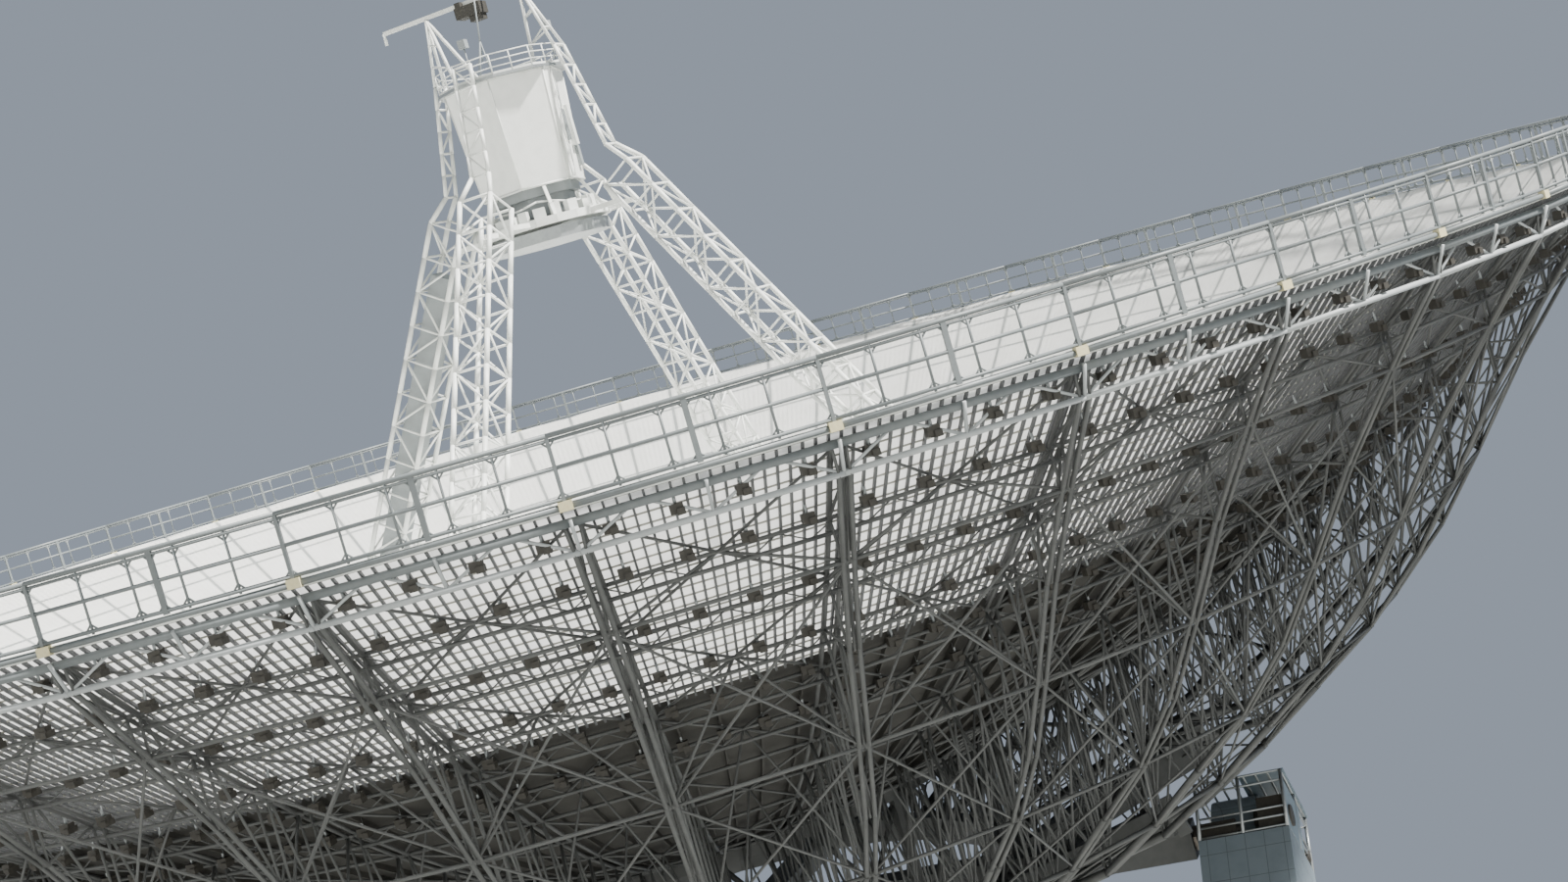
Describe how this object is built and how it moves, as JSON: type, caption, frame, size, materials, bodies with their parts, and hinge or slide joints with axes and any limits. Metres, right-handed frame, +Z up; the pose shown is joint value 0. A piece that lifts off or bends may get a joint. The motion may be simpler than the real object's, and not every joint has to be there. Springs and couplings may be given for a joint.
{
  "type": "radio telescope dish, 1:10 scale model",
  "caption": "Steerable radio telescope with a lattice-backed parabolic dish, guard fence, focus cabin on lattice legs, side towers and a round azimuth track.",
  "frame": {"origin": "on the ground under the azimuth axis, at the middle of the pintle pier's underside", "axes": "+Z up along the azimuth axis, X along the elevation axis, the dish looks towards -Y and up"},
  "size_m": [9.9972, 8.8879, 10.5624],
  "materials": {
    "white_paint": "white painted tubular steel, satin, slightly weathered",
    "panel_paint": "white painted sheet panels, matt",
    "grey_paint": "grey machinery paint, satin",
    "rail_steel": "bare rolled steel, worn bright on top",
    "concrete": "grey cast concrete, matt"
  },
  "bodies": {
    "track": {"track_foundation": "concrete", "azimuth_rail": "rail_steel", "pintle_pier": "concrete"},
    "alidade": {"base_frame": "white_paint", "bogie_front_left": "grey_paint", "bogie_rear_left": "grey_paint", "tower_left": "white_paint", "bearing_house_left": "grey_paint", "head_gantry_left": "grey_paint", "bogie_front_right": "grey_paint", "bogie_rear_right": "grey_paint", "tower_right": "white_paint", "bearing_house_right": "grey_paint", "head_gantry_right": "grey_paint", "elevation_drive": "grey_paint"},
    "dish": {"hub_frame": "white_paint", "elevation_wheel": "grey_paint", "counterweight_left": "grey_paint", "trunnion_left": "rail_steel", "counterweight_right": "grey_paint", "trunnion_right": "rail_steel", "reflector_centre": "panel_paint", "reflector_right_upper": "panel_paint", "reflector_left_upper": "panel_paint", "reflector_left_lower": "panel_paint", "reflector_right_lower": "panel_paint", "back_structure_right_upper": "white_paint", "back_structure_left_upper": "white_paint", "back_structure_left_lower": "white_paint", "back_structure_right_lower": "white_paint", "rim_fence_right_upper": "white_paint", "rim_fence_left_upper": "white_paint", "rim_fence_left_lower": "white_paint", "rim_fence_right_lower": "white_paint", "cabin_leg_right": "white_paint", "cabin_leg_upper": "white_paint", "cabin_leg_left": "white_paint", "cabin_leg_lower": "white_paint", "lift_shaft": "grey_paint", "cabin_frame": "white_paint", "secondary_mirror": "panel_paint", "focus_cabin": "panel_paint", "cabin_deck": "grey_paint", "cabin_railing": "white_paint", "cabin_crane": "white_paint", "crane_hoist": "grey_paint"}
  },
  "joints": [
    {"name": "azimuth", "type": "hinge", "parent": "track", "child": "alidade", "pos_m": [0, 0, 0], "axis": [0, 0, 1], "range_deg": [-240, 240]},
    {"name": "elevation", "type": "hinge", "parent": "alidade", "child": "dish", "pos_m": [0, 0, 5], "axis": [-1, 0, 0], "range_deg": [-37.5, 49.5]}
  ]
}
